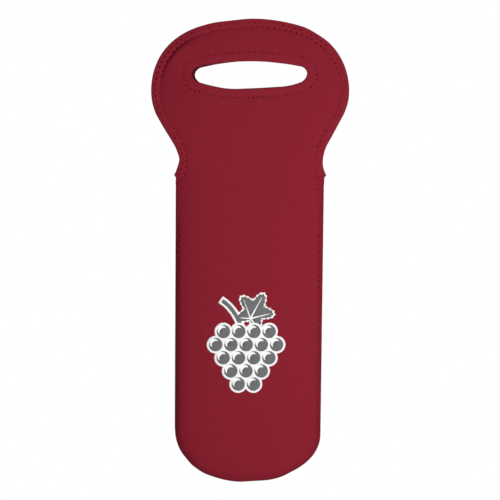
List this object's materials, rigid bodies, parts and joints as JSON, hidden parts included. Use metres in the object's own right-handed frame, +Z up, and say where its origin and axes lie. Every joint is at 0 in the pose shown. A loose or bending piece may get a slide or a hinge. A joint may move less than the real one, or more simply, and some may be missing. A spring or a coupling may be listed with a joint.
{
  "type": "bottle carrier",
  "caption": "Soft neoprene bottle carrier: a flat round-footed pouch whose front and back walls rise into handle flaps with a hand slot, bound edges and zigzag stitching; flaps open outward.",
  "frame": {"origin": "middle of the hand slot's upper edge, half way between the front and back flaps, where a hand or hook bears", "axes": "+Z up along the carrier, +X across it to the viewer's right, the printed front faces -Y"},
  "size_m": [0.1728, 0.029, 0.4058],
  "materials": {
    "neoprene": "foam sheet faced with fine maroon knit, matt",
    "binding": "stretch binding tape in the same maroon, matt",
    "thread": "polyester sewing thread in dark maroon"
  },
  "bodies": {
    "pouch": {"front_panel": "neoprene", "back_panel": "neoprene", "seam_stitching": "thread", "left_bar_tack": "thread", "right_bar_tack": "thread"},
    "front_handle": {"front_flap": "neoprene", "front_edge_binding": "binding", "front_slot_binding": "binding", "front_edge_stitching": "thread", "front_slot_stitching": "thread"},
    "back_handle": {"back_flap": "neoprene", "back_edge_binding": "binding", "back_slot_binding": "binding", "back_edge_stitching": "thread", "back_slot_stitching": "thread"}
  },
  "joints": [
    {"name": "front_handle_bend", "type": "hinge", "parent": "pouch", "child": "front_handle", "pos_m": [0, -0.0095, -0.1022], "axis": [1, 0, 0], "range_deg": [0, 90], "stiffness_Nm_per_rad": 0.05},
    {"name": "back_handle_bend", "type": "hinge", "parent": "pouch", "child": "back_handle", "pos_m": [0, 0.0095, -0.1022], "axis": [-1, 0, 0], "range_deg": [0, 90], "stiffness_Nm_per_rad": 0.05}
  ]
}
